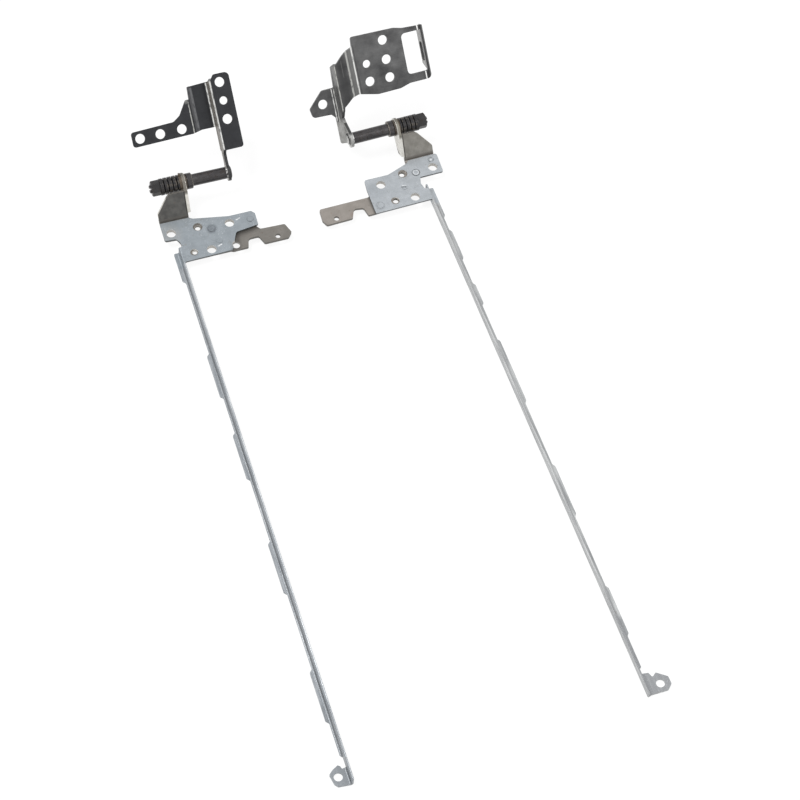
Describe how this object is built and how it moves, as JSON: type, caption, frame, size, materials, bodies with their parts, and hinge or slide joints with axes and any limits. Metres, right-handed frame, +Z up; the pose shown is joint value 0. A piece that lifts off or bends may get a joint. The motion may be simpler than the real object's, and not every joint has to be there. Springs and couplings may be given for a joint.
{
  "type": "laptop hinge pair",
  "caption": "Left and right screen hinges of a laptop: long lid rails with pierced plates, folded base brackets and friction shafts with disc springs.",
  "frame": {"origin": "centre of the pair's box, at the level that the rails' flanges lie on", "axes": "+X along the left hinge's shaft, +Y from the rails' feet to the shafts, +Z up from the bench"},
  "size_m": [0.1136, 0.2555, 0.0375],
  "materials": {
    "zinc_plated_steel": "bluish zinc plate, satin",
    "nickel_plated_steel": "warm nickel plate, satin",
    "left_base_black": "black electrocoat with bare bends",
    "right_base_black": "black nickel plate, semi-gloss",
    "oiled_steel": "blackened, oiled",
    "blued_spring_steel": "blued, greased",
    "bronze_friction_steel": "brown, greased"
  },
  "bodies": {
    "rails": {"left_rail": "zinc_plated_steel", "left_swivel_bracket": "nickel_plated_steel", "left_rivets": "zinc_plated_steel", "left_inner_washer": "oiled_steel", "left_outer_washer": "bronze_friction_steel", "right_rail": "zinc_plated_steel", "right_swivel_bracket": "nickel_plated_steel", "right_rivets": "zinc_plated_steel", "right_inner_washer": "oiled_steel", "right_outer_washer": "bronze_friction_steel"},
    "left_base": {"left_base_bracket": "left_base_black", "left_shaft": "oiled_steel", "left_disc_spring_1": "blued_spring_steel", "left_disc_spring_2": "blued_spring_steel", "left_disc_spring_3": "blued_spring_steel", "left_disc_spring_4": "blued_spring_steel", "left_disc_spring_5": "blued_spring_steel", "left_disc_spring_6": "blued_spring_steel", "left_disc_spring_7": "blued_spring_steel", "left_disc_spring_8": "blued_spring_steel", "left_pressure_washer": "blued_spring_steel", "left_nut": "oiled_steel"},
    "right_base": {"right_base_bracket": "right_base_black", "right_shaft": "oiled_steel", "right_disc_spring_1": "blued_spring_steel", "right_disc_spring_2": "blued_spring_steel", "right_disc_spring_3": "blued_spring_steel", "right_disc_spring_4": "blued_spring_steel", "right_disc_spring_5": "blued_spring_steel", "right_disc_spring_6": "blued_spring_steel", "right_disc_spring_7": "blued_spring_steel", "right_disc_spring_8": "blued_spring_steel", "right_pressure_washer": "blued_spring_steel", "right_nut": "oiled_steel"}
  },
  "joints": [
    {"name": "left_hinge", "type": "hinge", "parent": "rails", "child": "left_base", "pos_m": [-0.0499, 0.0983, 0.01134], "axis": [1, 0, 0], "range_deg": [-8, 142]},
    {"name": "right_hinge", "type": "hinge", "parent": "rails", "child": "right_base", "pos_m": [0.03869, 0.10167, 0.01134], "axis": [0.9992, 0.0396, 0], "range_deg": [-16, 134]}
  ]
}
